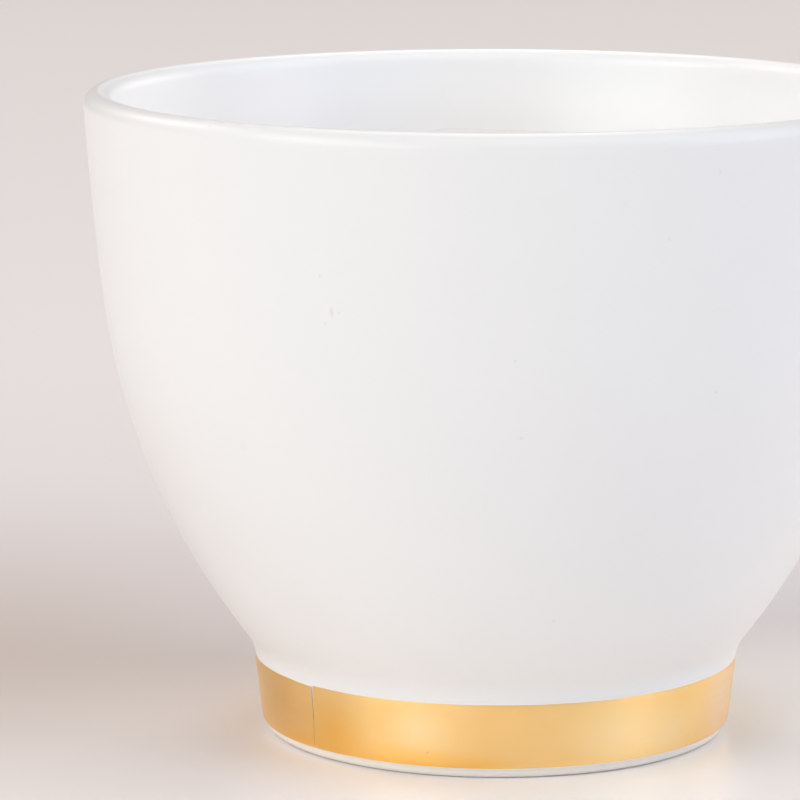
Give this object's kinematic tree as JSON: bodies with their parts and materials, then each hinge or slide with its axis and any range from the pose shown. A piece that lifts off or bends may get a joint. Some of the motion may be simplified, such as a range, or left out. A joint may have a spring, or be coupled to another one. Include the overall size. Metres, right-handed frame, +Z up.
{
  "type": "teacup",
  "caption": "Round white teacup with no handle: curved bowl with a rounded lip, satin glaze outside, glossy inside, on a narrow ring foot wrapped in a gold band.",
  "frame": {"origin": "centre of the foot's resting plane", "axes": "+Z up along the cup's axis, out of its mouth; -Y is the side shown to a viewer, with the gold band's seam to the left of it"},
  "size_m": [0.082, 0.082, 0.0645],
  "materials": {
    "porcelain_clay": "bare fired porcelain, matt and faintly warm",
    "satin_glaze": "satin-matt white glaze with soft highlights and tiny pinholes",
    "gloss_glaze": "smooth semi-gloss white glaze",
    "gold": "fired gold, softly brushed and cloudy"
  },
  "bodies": {
    "root": {"bowl_body": "porcelain_clay", "foot_ring": "porcelain_clay", "outer_glaze": "satin_glaze", "inner_glaze": "gloss_glaze", "foot_well_glaze": "gloss_glaze", "gold_band": "gold"}
  },
  "joints": []
}
